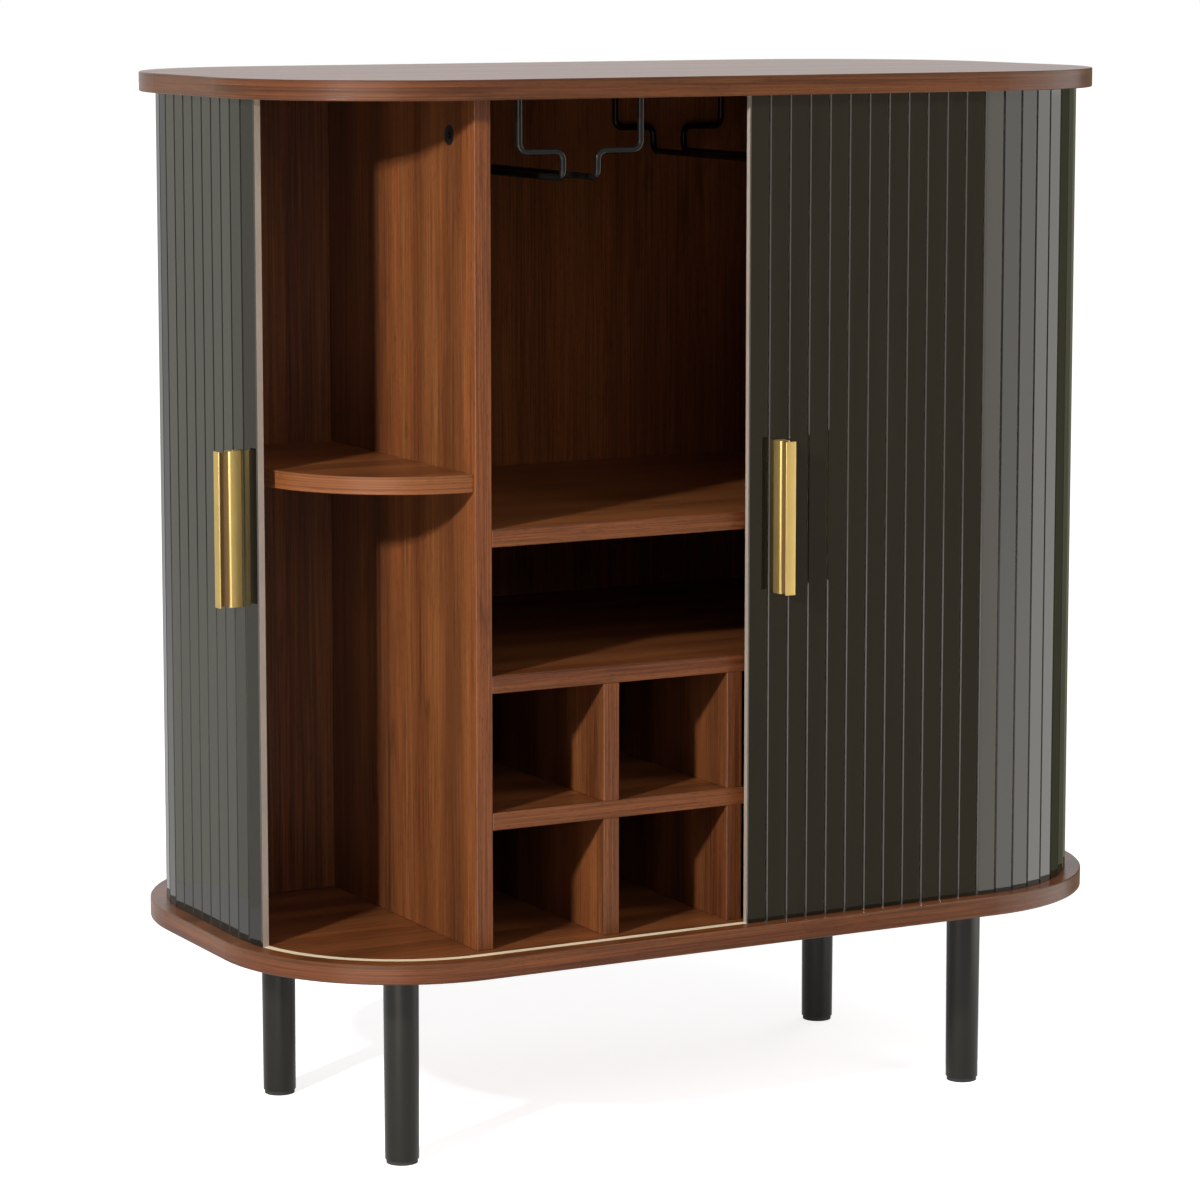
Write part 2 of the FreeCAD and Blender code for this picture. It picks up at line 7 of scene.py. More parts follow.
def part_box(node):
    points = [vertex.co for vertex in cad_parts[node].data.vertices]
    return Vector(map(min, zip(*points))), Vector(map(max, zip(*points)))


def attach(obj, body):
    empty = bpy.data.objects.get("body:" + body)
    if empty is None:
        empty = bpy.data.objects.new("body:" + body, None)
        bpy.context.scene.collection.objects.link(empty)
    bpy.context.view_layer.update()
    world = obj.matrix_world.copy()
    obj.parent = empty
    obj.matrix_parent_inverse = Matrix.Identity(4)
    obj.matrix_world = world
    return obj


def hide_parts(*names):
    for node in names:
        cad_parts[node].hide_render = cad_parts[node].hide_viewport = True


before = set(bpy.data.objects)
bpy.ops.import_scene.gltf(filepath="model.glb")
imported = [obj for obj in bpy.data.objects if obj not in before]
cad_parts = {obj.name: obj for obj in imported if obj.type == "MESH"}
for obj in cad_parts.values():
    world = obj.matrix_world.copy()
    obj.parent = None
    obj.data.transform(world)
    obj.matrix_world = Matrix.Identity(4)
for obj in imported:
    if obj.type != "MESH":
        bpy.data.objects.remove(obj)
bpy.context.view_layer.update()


# ---- The top and base boards ----
# Two walnut-veneered boards with large round corners close the cabinet above and below.
# Their faces have the grain along the cabinet, and a veneer strip runs round their edges.

def link(tree, source, target):
    tree.links.new(source, target)


def set_inputs(node, values):
    """Sets a node's own inputs by their names."""
    for name, value in values.items():
        node.inputs[name].default_value = value


def value_node(tree, operation, first, second):
    """A Math node; its inputs are sockets or numbers."""
    node = tree.nodes.new("ShaderNodeMath")
    node.operation = operation
    for socket, item in zip(node.inputs, (first, second)):
        if isinstance(item, (int, float)):
            socket.default_value = item
        else:
            link(tree, item, socket)
    return node.outputs[0]


def vector_node(tree, operation, vector, second=(0, 0, 0)):
    """A Vector Math node on a socket and a fixed vector."""
    node = tree.nodes.new("ShaderNodeVectorMath")
    node.operation = operation
    link(tree, vector, node.inputs[0])
    node.inputs[1].default_value = second
    return node


def blend_colours(tree, kind, amount, first, second):
    """A Mix node for colours; the amount and the colours are sockets or plain values."""
    node = tree.nodes.new("ShaderNodeMix")
    node.data_type = "RGBA"
    node.blend_type = kind
    for number, item in ((0, amount), (6, first), (7, second)):
        socket = node.inputs[number]
        if isinstance(item, bpy.types.NodeSocket):
            link(tree, item, socket)
        elif isinstance(item, (int, float)):
            socket.default_value = item
        else:
            socket.default_value = (*item, 1)
    return node.outputs[2]


def noise(tree, vector, stretch, detail, roughness=0.5, distortion=0.0):
    """Noise on a stretched vector: each number of the stretch is how fast it changes that way."""
    texture = tree.nodes.new("ShaderNodeTexNoise")
    set_inputs(texture, {"Scale": 1, "Detail": detail, "Roughness": roughness,
                         "Distortion": distortion})
    link(tree, vector_node(tree, "MULTIPLY", vector, stretch).outputs[0], texture.inputs["Vector"])
    return texture.outputs["Fac"]


def ramp(tree, factor, *stops):
    """A Color Ramp; each stop is its place and a colour, or one number for a grey."""
    node = tree.nodes.new("ShaderNodeValToRGB")
    elements = node.color_ramp.elements
    while len(elements) < len(stops):
        elements.new(0.5)
    for element, (place, colour) in zip(elements, stops):
        if isinstance(colour, (int, float)):
            colour = (colour, colour, colour)
        element.position = place
        element.color = (*colour, 1)
    link(tree, factor, node.inputs[0])
    return node.outputs[0]


def new_material(name):
    """A material, with its node tree and its shader."""
    material = bpy.data.materials.new(name)
    material.use_nodes = True
    tree = material.node_tree
    return material, tree, tree.nodes["Principled BSDF"]


def add_bump(tree, shader, height, strength, depth):
    """Raises the surface by the height socket, over a depth in metres."""
    bump = tree.nodes.new("ShaderNodeBump")
    set_inputs(bump, {"Strength": strength, "Distance": depth})
    link(tree, height, bump.inputs["Height"])
    link(tree, bump.outputs["Normal"], shader.inputs["Normal"])


# The veneer's layers: how fast each changes along the grain, across it and through the board,
# then its detail, its roughness and its distortion
BANDS = ((0.6, 18, 18), 4, 0.72)
STREAKS = ((1.6, 230, 230), 5, 0.80)
FIBRES = ((8, 620, 620), 4, 0.65)
FLECKS = ((8, 48, 48), 3, 0.55, 0.8)
PORES = ((120, 1150, 1150), 1)
WARMTH = ((0.6, 45, 45), 3, 0.6)
RINGS = {"Scale": 1, "Distortion": 9, "Detail": 3, "Detail Scale": 0.5, "Detail Roughness": 0.6}
RING_SLANT = (0.8, 4.2, 4.2)
BAND_SHARE, STREAK_SHARE, RING_SHARE, FIBRE_SHARE, PORE_SHARE = 0.42, 0.34, 0.11, 0.13, 0.38

HEART_BROWNS = ((0.37, (0.050, 0.0158, 0.0068)), (0.47, (0.112, 0.0350, 0.0120)),
                (0.56, (0.163, 0.0525, 0.0166)), (0.68, (0.238, 0.0810, 0.0255)))
RED_TO_PALE = ((0.38, (1.03, 0.96, 0.95)), (0.62, (0.98, 1.05, 1.05)))
FIBRE_TONES = ((0.32, 0.66), (0.50, 1.0), (0.68, 1.30))
FLECK_STOPS, FLECK_BROWN = ((0.60, 0.0), (0.78, 0.60)), (0.036, 0.0115, 0.0052)
PORE_STOPS, PORE_BROWN = ((0.58, 0.0), (0.70, 1.0)), (0.026, 0.0085, 0.0042)
VENEER_ROUGH, FIBRE_ROUGH, FIBRE_HEIGHT = 0.25, 0.12, 0.4


def walnut_group():
    """Walnut veneer: the vector's X is along the grain, its Y across it, its Z through the board."""
    tree = bpy.data.node_groups.new("walnut_veneer", "ShaderNodeTree")
    for way, name, kind in (("INPUT", "Vector", "Vector"), ("INPUT", "Tone", "Float"),
                            ("OUTPUT", "Color", "Color"), ("OUTPUT", "Roughness", "Float"),
                            ("OUTPUT", "Height", "Float")):
        tree.interface.new_socket(name, in_out=way, socket_type=f"NodeSocket{kind}")
    given = tree.nodes.new("NodeGroupInput")
    result = tree.nodes.new("NodeGroupOutput")
    vector = given.outputs["Vector"]

    # Growth rings, cut at a slant so that they open out into long arches
    rings = tree.nodes.new("ShaderNodeTexWave")
    rings.wave_type = "BANDS"
    rings.bands_direction = "Y"
    set_inputs(rings, RINGS)
    slanted = vector_node(tree, "MULTIPLY", vector, RING_SLANT)
    link(tree, slanted.outputs[0], rings.inputs["Vector"])

    # Wide bands of heartwood, narrow streaks, fine fibres, dark smudges and short open pores
    bands, streaks, fibres, flecks, pores, warmth = (
        noise(tree, vector, *layer) for layer in (BANDS, STREAKS, FIBRES, FLECKS, PORES, WARMTH))

    heart = given.outputs["Tone"]
    for part, share in ((bands, BAND_SHARE), (streaks, STREAK_SHARE),
                        (rings.outputs["Fac"], RING_SHARE), (fibres, FIBRE_SHARE)):
        heart = value_node(tree, "ADD", heart, value_node(tree, "MULTIPLY", part, share))
    colour = ramp(tree, heart, *HEART_BROWNS)
    for tint in (ramp(tree, warmth, *RED_TO_PALE), ramp(tree, fibres, *FIBRE_TONES)):
        colour = blend_colours(tree, "MULTIPLY", 1.0, colour, tint)
    fleck_mask = ramp(tree, flecks, *FLECK_STOPS)
    colour = blend_colours(tree, "MIX", fleck_mask, colour, FLECK_BROWN)
    pore_mask = ramp(tree, pores, *PORE_STOPS)
    pore_share = value_node(tree, "MULTIPLY", pore_mask, PORE_SHARE)
    colour = blend_colours(tree, "MIX", pore_share, colour, PORE_BROWN)
    link(tree, colour, result.inputs["Color"])

    rough = value_node(tree, "MULTIPLY", fibres, FIBRE_ROUGH)
    link(tree, value_node(tree, "ADD", rough, VENEER_ROUGH), result.inputs["Roughness"])
    raised = value_node(tree, "MULTIPLY", fibres, FIBRE_HEIGHT)
    link(tree, value_node(tree, "SUBTRACT", raised, pore_mask), result.inputs["Height"])
    return tree


WALNUT = walnut_group()
WALNUT_SHINE, GRAIN_DEPTH, GRAIN_STRENGTH = 0.22, 0.00006, 0.5
TURN_TO_GRAIN = {"x": (0, 0, 0), "z": (0, math.pi / 2, 0)}
FACE_NORMAL = 0.8  # a board's narrow edges look less than this much along its thickness
STRIP_PLACE = (0.31, 0.17, 0.23)


def walnut(name, grain, thin, place, tone=0.0, strip_tone_and_shade=-0.06, round_edge=False):
    """One board's walnut, with a strip of other veneer on its narrow edges. Its grain runs along
    x or z, it is thin along x, y or z, and the place is where it was cut from the log. The strip's
    tone darkens the narrow edges, partly as the strip's own colour and partly as painted shade
    against the front lamps."""
    material, tree, shader = new_material(name)
    coordinates = tree.nodes.new("ShaderNodeTexCoord")
    place_on_board = coordinates.outputs["Object"]
    turned = tree.nodes.new("ShaderNodeMapping")
    set_inputs(turned, {"Location": place, "Rotation": TURN_TO_GRAIN[grain]})
    link(tree, place_on_board, turned.inputs["Vector"])
    facing = tree.nodes.new("ShaderNodeSeparateXYZ")
    link(tree, coordinates.outputs["Normal"], facing.inputs[0])
    flatness = value_node(tree, "ABSOLUTE", facing.outputs[thin.upper()], 0)
    narrow = value_node(tree, "LESS_THAN", flatness, FACE_NORMAL)
    if round_edge:
        # Round the board's outline X and Y both change slowly, as the strip's grain does
        apart = tree.nodes.new("ShaderNodeSeparateXYZ")
        link(tree, place_on_board, apart.inputs[0])
        strip = tree.nodes.new("ShaderNodeCombineXYZ")
        outline = value_node(tree, "ADD", apart.outputs["X"], apart.outputs["Y"])
        link(tree, outline, strip.inputs["X"])
        link(tree, apart.outputs["Z"], strip.inputs["Y"])
    else:
        strip = vector_node(tree, "ADD", turned.outputs["Vector"], STRIP_PLACE)
    chosen = tree.nodes.new("ShaderNodeMix")
    chosen.data_type = "VECTOR"
    link(tree, narrow, chosen.inputs[0])
    link(tree, turned.outputs["Vector"], chosen.inputs[4])
    link(tree, strip.outputs[0], chosen.inputs[5])
    veneer = tree.nodes.new("ShaderNodeGroup")
    veneer.node_tree = WALNUT
    link(tree, chosen.outputs[1], veneer.inputs["Vector"])
    # The strip tone darkens the narrow edges: partly the strip veneer's own colour, partly painted
    # shade
    strip_and_shade_share = value_node(tree, "MULTIPLY", narrow, strip_tone_and_shade)
    link(tree, value_node(tree, "ADD", strip_and_shade_share, tone), veneer.inputs["Tone"])
    link(tree, veneer.outputs["Color"], shader.inputs["Base Color"])
    link(tree, veneer.outputs["Roughness"], shader.inputs["Roughness"])
    add_bump(tree, shader, veneer.outputs["Height"], GRAIN_STRENGTH, GRAIN_DEPTH)
    set_inputs(shader, {"Specular IOR Level": WALNUT_SHINE})
    return material


def finish_node(name, material):
    """Gives a CAD node its material."""
    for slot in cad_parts[name].material_slots:
        slot.material = material


finish_node("top_board", walnut("walnut_top", "x", "z", (0.31, 0.12, 0.0), 0.02, 0.0, True))
# The base board's darker edge strip is partly painted shade
finish_node("base_board", walnut("walnut_base", "x", "z", (1.42, 0.55, 0.3), 0.05, -0.11, True))


# ---- The tracks ----
# A pale plastic strip lies flush in a groove round each board. The slats' ends run over it,
# and the lower one shows as a light line where a door stands open.

CLOUD_STRETCH, GRAIN_STRETCH = (14, 14, 14), (300, 300, 300)
CLOUD_STOPS = ((0.3, 0.90), (0.7, 1.08))
SHEEN_SPREAD, FINE_STRENGTH = 0.35, 0.4


def plain_finish(name, colour, roughness, metallic=0.0, grain=0.0, shine=0.5):
    """A painted, moulded or metal finish with a slightly uneven sheen and a fine surface grain."""
    material, tree, shader = new_material(name)
    set_inputs(shader, {"Metallic": metallic, "Specular IOR Level": shine})
    place_on_piece = tree.nodes.new("ShaderNodeTexCoord").outputs["Object"]
    shade = ramp(tree, noise(tree, place_on_piece, CLOUD_STRETCH, 3), *CLOUD_STOPS)
    link(tree, blend_colours(tree, "MULTIPLY", 1.0, colour, shade), shader.inputs["Base Color"])
    fine = noise(tree, place_on_piece, GRAIN_STRETCH, 2)
    spread = value_node(tree, "SUBTRACT", fine, 0.5)
    spread = value_node(tree, "MULTIPLY", spread, SHEEN_SPREAD * roughness)
    link(tree, value_node(tree, "ADD", spread, roughness), shader.inputs["Roughness"])
    if grain:
        add_bump(tree, shader, fine, FINE_STRENGTH, grain)
    return material


TRACK = plain_finish("track_cream", (1.0, 0.86, 0.60), 0.35, grain=0.00002)
finish_node("lower_track", TRACK)
finish_node("upper_track", TRACK)


# ---- The legs ----
# Four round steel legs, painted satin black, screwed to the base with a bolt each.
# A rubber pad under each one keeps it off the floor.

LEG_PAINT = plain_finish("leg_paint", (0.0105, 0.0098, 0.0070), 0.34, grain=0.00001, shine=0.3)
PAD_RUBBER = plain_finish("pad_rubber", (0.022, 0.021, 0.020), 0.75, grain=0.00004)
ZINC = plain_finish("zinc_plate", (0.62, 0.61, 0.58), 0.32, metallic=1.0)
for corner in ("front_left", "front_right", "back_left", "back_right"):
    finish_node(f"leg_{corner}", LEG_PAINT)
finish_node("foot_pads", PAD_RUBBER)
finish_node("leg_bolts", ZINC)


# ---- The dividers, back panel and side walls ----
# Upright walnut boards carry the top: a divider each side of the middle bay, a thin back,
# and a narrow wall behind each side bay. The grain runs up all of them.

# The back panel's higher tone is painted light in the deep middle bay, and the side backs' lower
# tone is painted shade
UPRIGHT_BOARDS = {
    "divider_left": ("x", (0.10, 0.83, 0.21), 0.04),
    "divider_right": ("x", (2.37, 0.26, 1.43), 0.04),
    "back_panel": ("y", (4.21, 1.97, 0.64), 0.13),
    "side_back_left": ("y", (6.02, 2.41, 2.11), -0.01),
    "side_back_right": ("y", (7.75, 3.14, 3.02), -0.01),
}
for name, (thin, place, tone) in UPRIGHT_BOARDS.items():
    finish_node(name, walnut(f"walnut_{name}", "z", thin, place, tone))


# ---- The fasteners ----
# Black plastic cam locks close the dividers' upper joints, flush in their outer faces, each with
# a cross for the driver. Zinc-plated screws come up through the base into the dividers.

def settle(thing, size=(1, 1, 1)):
    """Stretches a new primitive to its size and puts its place in its mesh."""
    thing.scale = size
    bpy.ops.object.transform_apply(location=True, rotation=True, scale=True)
    return thing


def new_box(size, middle, turn=(0, 0, 0)):
    bpy.ops.object.select_all(action="DESELECT")
    bpy.ops.mesh.primitive_cube_add(size=1, location=middle, rotation=turn)
    return settle(bpy.context.object, size)


def open_with(thing, kind, items, test):
    """Opens the mesh for editing with only those faces or edges selected that pass the test."""
    bpy.ops.object.mode_set(mode="EDIT")
    bpy.ops.mesh.select_mode(type=kind)
    bpy.ops.mesh.select_all(action="DESELECT")
    bpy.ops.object.mode_set(mode="OBJECT")
    for item in getattr(thing.data, items):
        item.select = test(item)
    bpy.ops.object.mode_set(mode="EDIT")


def pick_faces(thing, test):
    open_with(thing, "FACE", "polygons", test)


def pick_edges(thing, test):
    """The test is given the places of the edge's two ends."""
    points = thing.data.vertices
    open_with(thing, "EDGE", "edges",
              lambda edge: test([points[index].co for index in edge.vertices]))


CAM_PLASTIC = plain_finish("cam_plastic", (0.008, 0.008, 0.008), 0.35, grain=0.00003)
CAM_ROUND, CAM_LONG, CAM_RIM, CAM_DISH = 0.00925, 0.0125, 0.0012, 0.0006
CROSS_LONG, CROSS_WIDE, CROSS_DEEP = 0.0088, 0.0021, 0.0026
CROSS_TURN, CAM_SIDES = math.pi / 4, 48
FACING = 0.9  # the least share of its normal that a face has the way it looks


def model_cam(side, middle):
    """A cap that lies along X: its outer end has a rim, a shallow dish and a sunk cross."""
    bpy.ops.object.select_all(action="DESELECT")
    bpy.ops.mesh.primitive_cylinder_add(vertices=CAM_SIDES, radius=CAM_ROUND, depth=CAM_LONG,
                                        location=middle, rotation=(0, math.pi / 2, 0))
    cam = settle(bpy.context.object)
    pick_faces(cam, lambda face: face.normal.x * side > FACING)
    bpy.ops.mesh.inset(thickness=CAM_RIM)
    bpy.ops.mesh.extrude_region_move(TRANSFORM_OT_translate={"value": (-side * CAM_DISH, 0, 0)})
    bpy.ops.mesh.inset(thickness=CAM_RIM / 3)
    bpy.ops.object.mode_set(mode="OBJECT")
    outer_end = (middle.x + side * CAM_LONG / 2, middle.y, middle.z)
    arm = (2 * (CROSS_DEEP + CAM_DISH), CROSS_LONG, CROSS_WIDE)
    for turn in (CROSS_TURN, -CROSS_TURN):
        slot = new_box(arm, outer_end, (turn, 0, 0))
        cut = cam.modifiers.new("cross", "BOOLEAN")
        cut.operation = "DIFFERENCE"
        cut.object = slot
        bpy.context.view_layer.objects.active = cam
        bpy.ops.object.modifier_apply(modifier=cut.name)
        bpy.data.objects.remove(slot)
    cam.data.materials.clear()
    cam.data.materials.append(CAM_PLASTIC)
    return cam


cam_low, cam_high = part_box("cam_locks")
cam_height = (cam_low[2] + cam_high[2]) / 2
cams = []
for side in (-1, 1):
    for end in (-1, 1):
        cams.append(model_cam(side, Vector((side * (cam_high[0] - CAM_LONG / 2),
                                            end * (cam_high[1] - CAM_ROUND), cam_height))))
bpy.ops.object.select_all(action="DESELECT")
for cam in cams:
    cam.select_set(True)
bpy.context.view_layer.objects.active = cams[0]
bpy.ops.object.join()
cams[0].name = "cam_lock_caps"
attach(cams[0], "cabinet")
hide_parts("cam_locks")
finish_node("base_screws", ZINC)


# ---- The shelves and cubbies ----
# Two full shelves and a cubby shelf cross the middle bay, with three uprights in each row.
# The shelves' grain runs across the cabinet and the uprights' grain runs up.

CROSS_BOARDS = {
    "serving_shelf": ((0.62, 1.35, 0.52), 0.13),
    "bottle_shelf": ((3.14, 2.62, 1.61), 0.03),
    "cubby_shelf": ((5.33, 3.71, 2.72), 0.05),
}
# The shelves' edge strips are darkened partly as painted shade
SHELF_STRIP_AND_SHADE = -0.07
for name, (place, tone) in CROSS_BOARDS.items():
    finish_node(name, walnut(f"walnut_{name}", "x", "z", place, tone, SHELF_STRIP_AND_SHADE))
for row, row_place in (("lower", 8.1), ("upper", 12.4)):
    for number, column in enumerate(("left", "middle", "right")):
        name = f"cubby_upright_{row}_{column}"
        place = (row_place + number, 1.1 * number, row_place)
        finish_node(name, walnut(f"walnut_{name}", "z", "x", place, 0.02, 0.0))


# ---- The corner shelves ----
# A quarter-round walnut shelf in each side bay stands against the divider and the side wall.
# Its rounded edge follows the curtain's corner.

for side_name, place in (("left", (9.3, 0.4, 4.4)), ("right", (10.6, 0.9, 5.2))):
    finish_node(f"corner_shelf_{side_name}",
                walnut(f"walnut_corner_{side_name}", "x", "z", place, 0.06, 0.0, True))


# ---- The glass racks ----
# Each rack is a pair of bent steel wires in gloss black paint, plugged into the top board.
# The feet of stemmed glasses slide in over the rails.

WIRE_PAINT = plain_finish("wire_paint", (0.006, 0.006, 0.0055), 0.12, shine=0.18)
for wire in ("left_outer", "left_inner", "right_inner", "right_outer"):
    finish_node(f"glass_wire_{wire}", WIRE_PAINT)


# ---- The tambour doors ----
# Each door is a curtain of flat slats with a high-gloss dark face and a plain board-coloured
# back and sides, glued to cloth. Its groups of slats turn as they follow the track.

HALF_WIDTH, HALF_DEPTH, CORNER = 0.435, 0.235, 0.165
SLAT_PITCH, SLAT_WIDTH, SLAT_THICK, SLAT_TAPER, SLAT_EASED = 0.0211, 0.0205, 0.008, 0.001, 0.0010
SLAT_FOOT, SLAT_TALL = 0.2093, 0.7614
LEADING_GAP, DOOR_TRAVEL = 0.002, 0.487
# How many slats each rigid group has, from the leading edge on. The group that starts after
# 14 slats turns on the cabinet, and the others turn on it.
GROUP_COUNTS = (2, 6, 2, 2, 2, 6, 2, 2, 2, 4, 2, 1)
MASTER_FIRST = 14
LACQUER_STOPS = ((0.3, (0.0075, 0.0070, 0.0050)), (0.7, (0.0105, 0.0098, 0.0072)))
LACQUER_ROUGH, LACQUER_SPREAD, LACQUER_IOR = 0.02, 0.03, 1.40
CLOUDS, WAVES, WAVE_STRENGTH, WAVE_DEPTH = (40, 40, 3), (120, 120, 30), 0.10, 0.00001


def slat_gloss():
    """Dark lacquer, polished smooth, with the faintest waviness."""
    material, tree, shader = new_material("slat_gloss")
    place_on_slat = tree.nodes.new("ShaderNodeTexCoord").outputs["Object"]
    cloud = noise(tree, place_on_slat, CLOUDS, 2)
    link(tree, ramp(tree, cloud, *LACQUER_STOPS), shader.inputs["Base Color"])
    wave = noise(tree, place_on_slat, WAVES, 2)
    spread = value_node(tree, "MULTIPLY", wave, LACQUER_SPREAD)
    link(tree, value_node(tree, "ADD", spread, LACQUER_ROUGH), shader.inputs["Roughness"])
    add_bump(tree, shader, wave, WAVE_STRENGTH, WAVE_DEPTH)
    set_inputs(shader, {"IOR": LACQUER_IOR})
    return material


SLAT_GLOSS = slat_gloss()
SLAT_BACK = plain_finish("slat_back", (0.36, 0.295, 0.245), 0.6, grain=0.00004)


def model_slat():
    """One slat at the origin, its outer face along -Y: a block, narrower at the back, with the
    long edges of its face eased."""
    middle = SLAT_THICK / 2
    slat = new_box((SLAT_WIDTH, SLAT_THICK, SLAT_TALL), (0, middle, SLAT_TALL / 2))
    slat.data.materials.append(SLAT_GLOSS)
    slat.data.materials.append(SLAT_BACK)
    for face in slat.data.polygons:
        face.material_index = 0 if face.normal.y < -FACING else 1
    pick_faces(slat, lambda face: face.normal.y > FACING)
    back_share = (SLAT_WIDTH - 2 * SLAT_TAPER) / SLAT_WIDTH
    bpy.ops.transform.resize(value=(back_share, 1, 1), center_override=(0, SLAT_THICK, 0))
    bpy.ops.object.mode_set(mode="OBJECT")
    pick_edges(slat, lambda ends: (all(end.y < middle for end in ends) and
                                   abs(ends[0].z - ends[1].z) > SLAT_TALL / 2))
    bpy.ops.mesh.bevel(offset=SLAT_EASED, segments=1, material=0)
    bpy.ops.object.mode_set(mode="OBJECT")
    return slat


def track_point(distance):
    """The point on the slats' outer line, this far round from the middle of the front."""
    straight = HALF_WIDTH - CORNER
    flank = HALF_DEPTH - CORNER
    arc = math.pi / 2 * CORNER
    if distance < straight:
        return Vector((distance, -HALF_DEPTH, 0))
    distance -= straight
    if distance < arc:
        angle = distance / CORNER
        return Vector((straight + CORNER * math.sin(angle), -flank - CORNER * math.cos(angle), 0))
    distance -= arc
    if distance < 2 * flank:
        return Vector((HALF_WIDTH, distance - flank, 0))
    distance -= 2 * flank
    if distance < arc:
        angle = distance / CORNER
        return Vector((straight + CORNER * math.cos(angle), flank + CORNER * math.sin(angle), 0))
    return Vector((straight + arc - distance, HALF_DEPTH, 0))


def slat_place(number, side):
    """The place of a slat at rest: the left door stands open and the right door is closed."""
    start = LEADING_GAP + number * SLAT_PITCH + (DOOR_TRAVEL if side < 0 else 0)
    near = track_point(start)
    far = track_point(start + SLAT_PITCH)
    along = far - near
    middle = (near + far) / 2
    turn = side * math.atan2(along.y, along.x)
    place = Matrix.Translation((side * middle.x, middle.y, SLAT_FOOT))
    return place @ Matrix.Rotation(turn, 4, "Z")


def copy_at(pattern, name, place):
    """A copy of the pattern with a mesh of its own, moved to its place."""
    copy = bpy.data.objects.new(name, pattern.data.copy())
    bpy.context.collection.objects.link(copy)
    copy.data.transform(place)
    return copy


pattern_slat = model_slat()
for door, side in (("left", -1), ("right", 1)):
    first = 0
    for count in GROUP_COUNTS:
        node = f"{door}_slats_{first + 1:02d}_to_{first + count:02d}"
        bpy.ops.object.select_all(action="DESELECT")
        for number in range(first, first + count):
            slat = copy_at(pattern_slat, f"slat_{door}_{number + 1}", slat_place(number, side))
            slat.select_set(True)
            bpy.context.view_layer.objects.active = slat
        if count > 1:
            bpy.ops.object.join()
        curtain = bpy.context.view_layer.objects.active
        curtain.name = node.replace("slats", "curtain")
        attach(curtain, f"{door}_door" if first == MASTER_FIRST else node)
        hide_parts(node)
        first += count
bpy.data.objects.remove(pattern_slat)


# ---- The handles ----
# Each handle is a length of drawn brass section: a block on the slat, a thin neck and a lip, with
# its long corners rounded. Two screws from inside, flush in the slat's back, hold it.

BRASS = plain_finish("handle_brass", (0.50, 0.362, 0.128), 0.46, metallic=0.85)
# The neck's dark brown is painted shade, standing for the lip's shadow in the recess
BRASS_NECK_SHADE = plain_finish("brass_neck_painted_shade", (0.12, 0.066, 0.020), 0.6, shine=0.3)
HANDLE_WIDE, HANDLE_LONG = 0.0105, 0.141
BLOCK_DEEP, NECK_DEEP, LIP_THICK = 0.0125, 0.0086, 0.0014
NECK_WIDE, NECK_SHORT = 0.005, 0.0015
BLOCK_ROUND, LIP_ROUND, END_EASED = 0.0022, 0.0005, 0.0004
BLOCK_STEPS, LIP_STEPS, END_STEPS = 5, 4, 2
END_ANGLE, SMOOTH_ANGLE = math.radians(60), math.radians(35)
HAIR = 0.00001  # places this near each other are the same


def round_long_edges(bar, depths, offset, segments):
    """Rounds the bar's long outer corners that lie at any of these depths."""
    def long_corner(ends):
        upright = abs(ends[0].z - ends[1].z) > HANDLE_LONG / 2
        outer = all(abs(abs(end.x) - HANDLE_WIDE / 2) < HAIR for end in ends)
        return upright and outer and any(abs(ends[0].y + depth) < HAIR for depth in depths)

    bpy.ops.object.mode_set(mode="OBJECT")
    pick_edges(bar, long_corner)
    bpy.ops.mesh.bevel(offset=offset, segments=segments)


def model_handle():
    """The handle at the origin of its slat: the block is extruded into the neck, and that into
    the lip."""
    lip_back = BLOCK_DEEP + NECK_DEEP
    bar = new_box((HANDLE_WIDE, BLOCK_DEEP, HANDLE_LONG), (0, -BLOCK_DEEP / 2, 0))
    bar.data.materials.append(BRASS)
    bar.data.materials.append(BRASS_NECK_SHADE)
    neck = (NECK_WIDE / HANDLE_WIDE, 1, (HANDLE_LONG - 2 * NECK_SHORT) / HANDLE_LONG)
    lip = tuple(1 / share for share in neck)
    pick_faces(bar, lambda face: face.normal.y < -FACING)
    bpy.ops.mesh.extrude_region_move()
    bpy.ops.transform.resize(value=neck, center_override=(0, -BLOCK_DEEP, 0))
    bpy.ops.mesh.extrude_region_move(TRANSFORM_OT_translate={"value": (0, -NECK_DEEP, 0)})
    bpy.ops.mesh.extrude_region_move()
    bpy.ops.transform.resize(value=lip, center_override=(0, -lip_back, 0))
    bpy.ops.mesh.extrude_region_move(TRANSFORM_OT_translate={"value": (0, -LIP_THICK, 0)})
    round_long_edges(bar, (BLOCK_DEEP,), BLOCK_ROUND, BLOCK_STEPS)
    round_long_edges(bar, (lip_back, lip_back + LIP_THICK), LIP_ROUND, LIP_STEPS)
    bpy.ops.object.mode_set(mode="OBJECT")
    # The neck's faces get the dark brown of painted shade
    for face in bar.data.polygons:
        between = BLOCK_DEEP < -face.center.y < lip_back
        within = abs(face.center.x) < (NECK_WIDE + NECK_SHORT) / 2
        face.material_index = 1 if between and within else 0
    ease = bar.modifiers.new("ends", "BEVEL")
    ease.width = END_EASED
    ease.segments = END_STEPS
    ease.limit_method = "ANGLE"
    ease.angle_limit = END_ANGLE
    bpy.ops.object.modifier_apply(modifier=ease.name)
    bpy.ops.object.shade_smooth_by_angle(angle=SMOOTH_ANGLE)
    return bar


